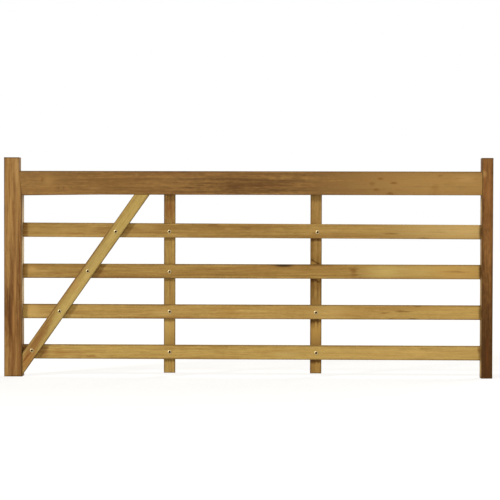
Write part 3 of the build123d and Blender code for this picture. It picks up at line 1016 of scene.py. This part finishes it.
pick_faces(bolt, lambda face: face.normal.y > facing_limit)
bpy.ops.mesh.inset(thickness=(head_radius - shank_radius) * flat_share, depth=0.0)
reach = clamped + washer_thickness
draw_out(reach)
for share in (root_share, 1 / root_share) * thread_turns:
    draw_out(thread_pitch / 2)
    reach += thread_pitch / 2
    pull_in(share, reach)
reach += tip_length
draw_out(tip_length)
pull_in(tip_share, reach)
bpy.ops.object.mode_set(mode="OBJECT")
print("bolt is", round(reach * 1000, 1), "mm long under its head")

# %% [markdown]
# ## Hexagon socket
# The socket takes a hexagon key. The round insets can't give its six flat walls, so a hexagon bar cuts them
# with a Boolean modifier, and the walls take over the finish of the bar: the socket's painted shade.

# %% Hexagon socket
hexagon_sides = 6
key_flats, key_front, key_bottom = 0.0065, -0.0100, -0.0006


def take(piece):
    """Selects one piece and no other, and makes it the active one."""
    bpy.ops.object.select_all(action="DESELECT")
    piece.select_set(True)
    bpy.context.view_layer.objects.active = piece


def cut(piece, cutter, operation="DIFFERENCE"):
    """Cuts one solid with another and clears the cutter away."""
    take(piece)
    saw = piece.modifiers.new("saw", "BOOLEAN")
    saw.operation = operation
    saw.solver = "EXACT"
    saw.material_mode = "TRANSFER"
    saw.object = cutter
    bpy.ops.object.modifier_apply(modifier=saw.name)
    bpy.data.objects.remove(cutter, do_unlink=True)


def corner_radius(flats):
    """From the middle of a hexagon to its corners, for a width across its flats."""
    return flats / 2 / math.cos(math.pi / hexagon_sides)


key = turned_bar(hexagon_sides, corner_radius(key_flats), key_front, key_bottom, socket_shade)
cut(bolt, key)
print("materials on the bolt:", [m.name for m in bolt.data.materials])

# %% [markdown]
# ## Washer and nut
# Both start as bars and are drilled by a thinner bar. The corners of a real nut are turned off on a lathe,
# which leaves curved chamfers. A bevel would follow the six sides, so the hexagon is instead cut to what it
# shares with a round bar that has bevelled rims. At the end their sharp edges are softened a little, to
# catch the light.

# %% Washer
washer_radius, washer_hole, washer_sides = 0.0115, 0.0045, 48
drill_sides, drill_before, drill_past = 32, 0.01, 0.02
washer_end = clamped + washer_thickness


def drill(piece, radius, start):
    """Drills a hole along Y through a thin piece, which starts at the given place."""
    cut(piece, turned_bar(drill_sides, radius, start - drill_before, start + drill_past, zinc))


washer = turned_bar(washer_sides, washer_radius, clamped, washer_end, zinc)
drill(washer, washer_hole, clamped)
print("washer is", round(2000 * washer_radius, 1), "mm wide")

# %% Nut
nut_flats, nut_height, nut_hole = 0.0130, 0.0065, 0.0042
lathe_sides, lathe_swell_share, lathe_overrun = 64, 1.002, 0.0002
chamfer, chamfer_angle = 0.0013, 60
nut_end = washer_end + nut_height


def bevel(piece, width, steps, angle):
    """Bevels the edges of a piece that turn by more than an angle, in degrees."""
    take(piece)
    edges = piece.modifiers.new("edges", "BEVEL")
    edges.width = width
    edges.segments = steps
    edges.limit_method = "ANGLE"
    edges.angle_limit = math.radians(angle)
    bpy.ops.object.modifier_apply(modifier=edges.name)


nut = turned_bar(hexagon_sides, corner_radius(nut_flats), washer_end, nut_end, zinc)
lathe = turned_bar(lathe_sides, corner_radius(nut_flats) * lathe_swell_share,
                   washer_end - lathe_overrun, nut_end + lathe_overrun, zinc)
bevel(lathe, chamfer, steps=1, angle=chamfer_angle)
cut(nut, lathe, "INTERSECT")
drill(nut, nut_hole, washer_end)
print("nut is", round(1000 * nut_flats, 1), "mm across its flats")

# %% Soft edges
washer_edge, nut_edge = 0.0003, 0.0002
soft_angle, smooth_angle = 40, 32
for piece, breadth in ((washer, washer_edge), (nut, nut_edge)):
    bevel(piece, breadth, steps=2, angle=soft_angle)
for piece in (bolt, washer, nut):
    take(piece)
    bpy.ops.object.shade_smooth_by_angle(angle=math.radians(smooth_angle))
print("faces of the bolt, the washer and the nut:", [len(p.data.polygons) for p in (bolt, washer, nut)])

# %% [markdown]
# ## Setting the bolts
# Each crossing gets copies of its own, and no two bolts were tightened to the same angle, so each is turned
# a step further. The place and the turn are then applied, which leaves every object at the origin, as the
# timbers are.

# %% Set the bolts
turn_step, nut_turn = 37, 20
for number, ((board, rail), (x, height)) in enumerate(bolt_places.items()):
    for label, master in (("bolt", bolt), ("washer", washer), ("nut", nut)):
        take(master)
        bpy.ops.object.duplicate(linked=False)
        piece = bpy.context.active_object
        piece.name = f"{board}_{label}_{rail}"
        piece.data.name = piece.name
        piece.location = (x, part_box("brace" if board == "brace" else rail)[0][1], foot + height)
        turn = turn_step * number + (nut_turn if label == "nut" else 0)
        piece.rotation_euler = (0.0, math.radians(turn), 0.0)
        bpy.ops.object.transform_apply(location=True, rotation=True, scale=True)
        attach(piece, "root")
for master in (bolt, washer, nut):
    bpy.data.objects.remove(master, do_unlink=True)
print(3 * len(bolt_places), "pieces of ironmongery set")
